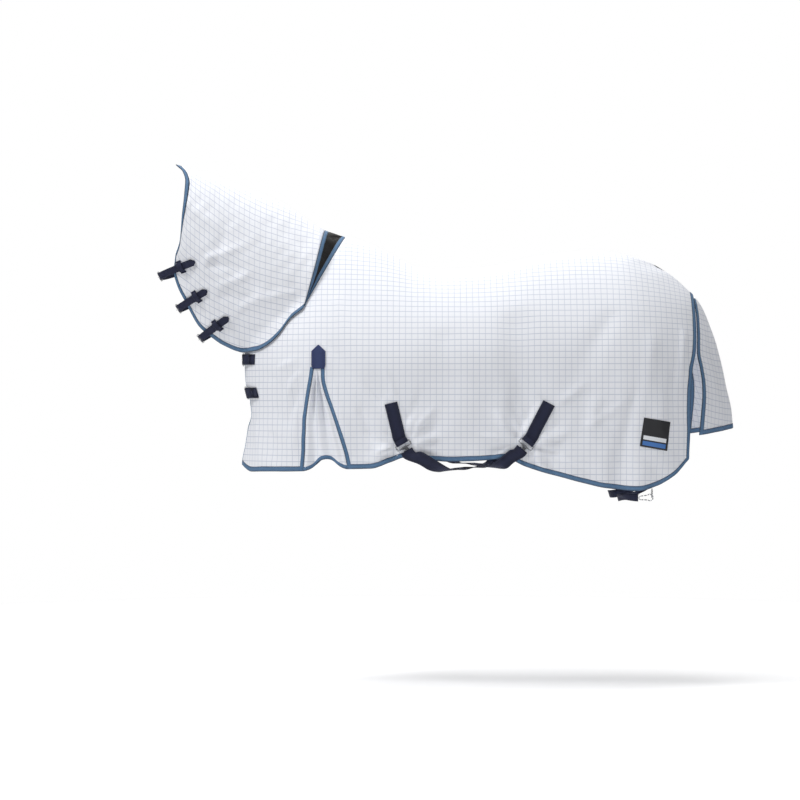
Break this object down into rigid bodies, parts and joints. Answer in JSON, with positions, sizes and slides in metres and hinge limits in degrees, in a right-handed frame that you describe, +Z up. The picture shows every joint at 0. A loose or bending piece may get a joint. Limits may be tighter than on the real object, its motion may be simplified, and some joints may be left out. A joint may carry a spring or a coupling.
{
  "type": "horse fly sheet",
  "caption": "Fly sheet for a horse: a white ripstop body with attached neck cover, shoulder gussets, tail flap, buckled chest and neck straps, crossed surcingles and leg straps.",
  "frame": {"origin": "top of the horse's withers, where the sheet rests", "axes": "+X from the head to the tail, +Z up, the horse's near (left) side toward -Y"},
  "size_m": [1.9247, 0.5729, 1.1208],
  "materials": {
    "steel": "polished",
    "binding": "woven tape",
    "label": "woven",
    "stretch_fabric": "stretch jersey",
    "patch_fabric": "plain weave",
    "mesh_fabric": "ripstop mesh with a blue-grey check",
    "webbing": "woven webbing"
  },
  "bodies": {
    "sheet": {"body_panel_left": "mesh_fabric", "body_panel_right": "mesh_fabric", "chest_strap_lower_billet": "webbing", "chest_strap_lower_frame": "steel", "chest_strap_lower_tab": "webbing", "chest_strap_upper_billet": "webbing", "chest_strap_upper_frame": "steel", "chest_strap_upper_tab": "webbing", "front_binding_left": "binding", "front_binding_right": "binding", "gusset_patch_left": "patch_fabric", "gusset_patch_right": "patch_fabric", "label": "label", "leg_ring_left": "steel", "leg_ring_right": "steel", "leg_snap_left": "steel", "leg_snap_right": "steel", "leg_strap_left": "webbing", "leg_strap_right": "webbing", "rear_binding_left": "binding", "rear_binding_right": "binding", "shoulder_gusset_left": "mesh_fabric", "shoulder_gusset_right": "mesh_fabric", "surcingle_front_belly_strap": "webbing", "surcingle_front_sewn_strap": "webbing", "surcingle_rear_belly_strap": "webbing", "surcingle_rear_sewn_strap": "webbing", "wedge_binding_rear": "binding", "wither_wedge": "stretch_fabric"},
    "neck_cover": {"neck_bib_left": "mesh_fabric", "neck_bib_right": "mesh_fabric", "neck_binding_left": "binding", "neck_binding_right": "binding", "neck_panel_left": "mesh_fabric", "neck_panel_right": "mesh_fabric", "neck_strap_low_billet": "webbing", "neck_strap_low_frame": "steel", "neck_strap_low_keeper": "webbing", "neck_strap_low_tab": "webbing", "neck_strap_middle_billet": "webbing", "neck_strap_middle_frame": "steel", "neck_strap_middle_keeper": "webbing", "neck_strap_middle_tab": "webbing", "neck_strap_top_billet": "webbing", "neck_strap_top_frame": "steel", "neck_strap_top_keeper": "webbing", "neck_strap_top_tab": "webbing", "wedge_binding_front": "binding"},
    "tail_flap": {"tail_flap": "mesh_fabric", "tail_flap_binding": "binding"},
    "chest_strap_lower_prong": {"chest_strap_lower_prong": "steel"},
    "chest_strap_upper_prong": {"chest_strap_upper_prong": "steel"},
    "neck_strap_low_prong": {"neck_strap_low_prong": "steel"},
    "neck_strap_middle_prong": {"neck_strap_middle_prong": "steel"},
    "neck_strap_top_prong": {"neck_strap_top_prong": "steel"},
    "surcingle_front_fitting": {"surcingle_front_ring": "steel", "surcingle_front_hook": "steel"},
    "surcingle_rear_fitting": {"surcingle_rear_ring": "steel", "surcingle_rear_hook": "steel"}
  },
  "joints": [
    {"name": "neck_lift", "type": "hinge", "parent": "sheet", "child": "neck_cover", "pos_m": [-0.131, 0, -0.244], "axis": [0, 1, 0], "range_deg": [-6, 8], "deforming": ["neck_bib_left", "neck_bib_right", "neck_binding_left", "neck_binding_right", "wither_wedge", "wedge_binding_front"]},
    {"name": "tail_flap_lift", "type": "hinge", "parent": "sheet", "child": "tail_flap", "pos_m": [1.166, 0, -0.199], "axis": [0, -1, 0], "range_deg": [0, 40]},
    {"name": "chest_strap_lower_tongue", "type": "hinge", "parent": "sheet", "child": "chest_strap_lower_prong", "pos_m": [-0.3225, -0.03376, -0.52261], "axis": [-0.2498, -0.0406, 0.9674], "range_deg": [0, 95]},
    {"name": "chest_strap_upper_tongue", "type": "hinge", "parent": "sheet", "child": "chest_strap_upper_prong", "pos_m": [-0.33365, -0.03382, -0.4111], "axis": [-0.0092, -0.0019, 1], "range_deg": [0, 95]},
    {"name": "neck_strap_low_tongue", "type": "hinge", "parent": "neck_cover", "child": "neck_strap_low_prong", "pos_m": [-0.47559, -0.03401, -0.33876], "axis": [-0.6447, -0.0298, 0.7639], "range_deg": [0, 95]},
    {"name": "neck_strap_middle_tongue", "type": "hinge", "parent": "neck_cover", "child": "neck_strap_middle_prong", "pos_m": [-0.54981, -0.03408, -0.23992], "axis": [-0.5422, -0.0179, 0.84], "range_deg": [0, 95]},
    {"name": "neck_strap_top_tongue", "type": "hinge", "parent": "neck_cover", "child": "neck_strap_top_prong", "pos_m": [-0.61226, -0.03396, -0.13248], "axis": [-0.4216, -0.0223, 0.9065], "range_deg": [0, 95]},
    {"name": "surcingle_front_fitting_swing", "type": "hinge", "parent": "sheet", "child": "surcingle_front_fitting", "pos_m": [0.19461, -0.27325, -0.68633], "axis": [-0.8616, 0.0699, -0.5028], "range_deg": [0, 8], "deforming": ["surcingle_front_belly_strap"]},
    {"name": "surcingle_rear_fitting_swing", "type": "hinge", "parent": "sheet", "child": "surcingle_rear_fitting", "pos_m": [0.60238, -0.27584, -0.68296], "axis": [-0.7803, -0.075, 0.6209], "range_deg": [0, 8], "deforming": ["surcingle_rear_belly_strap"]}
  ]
}
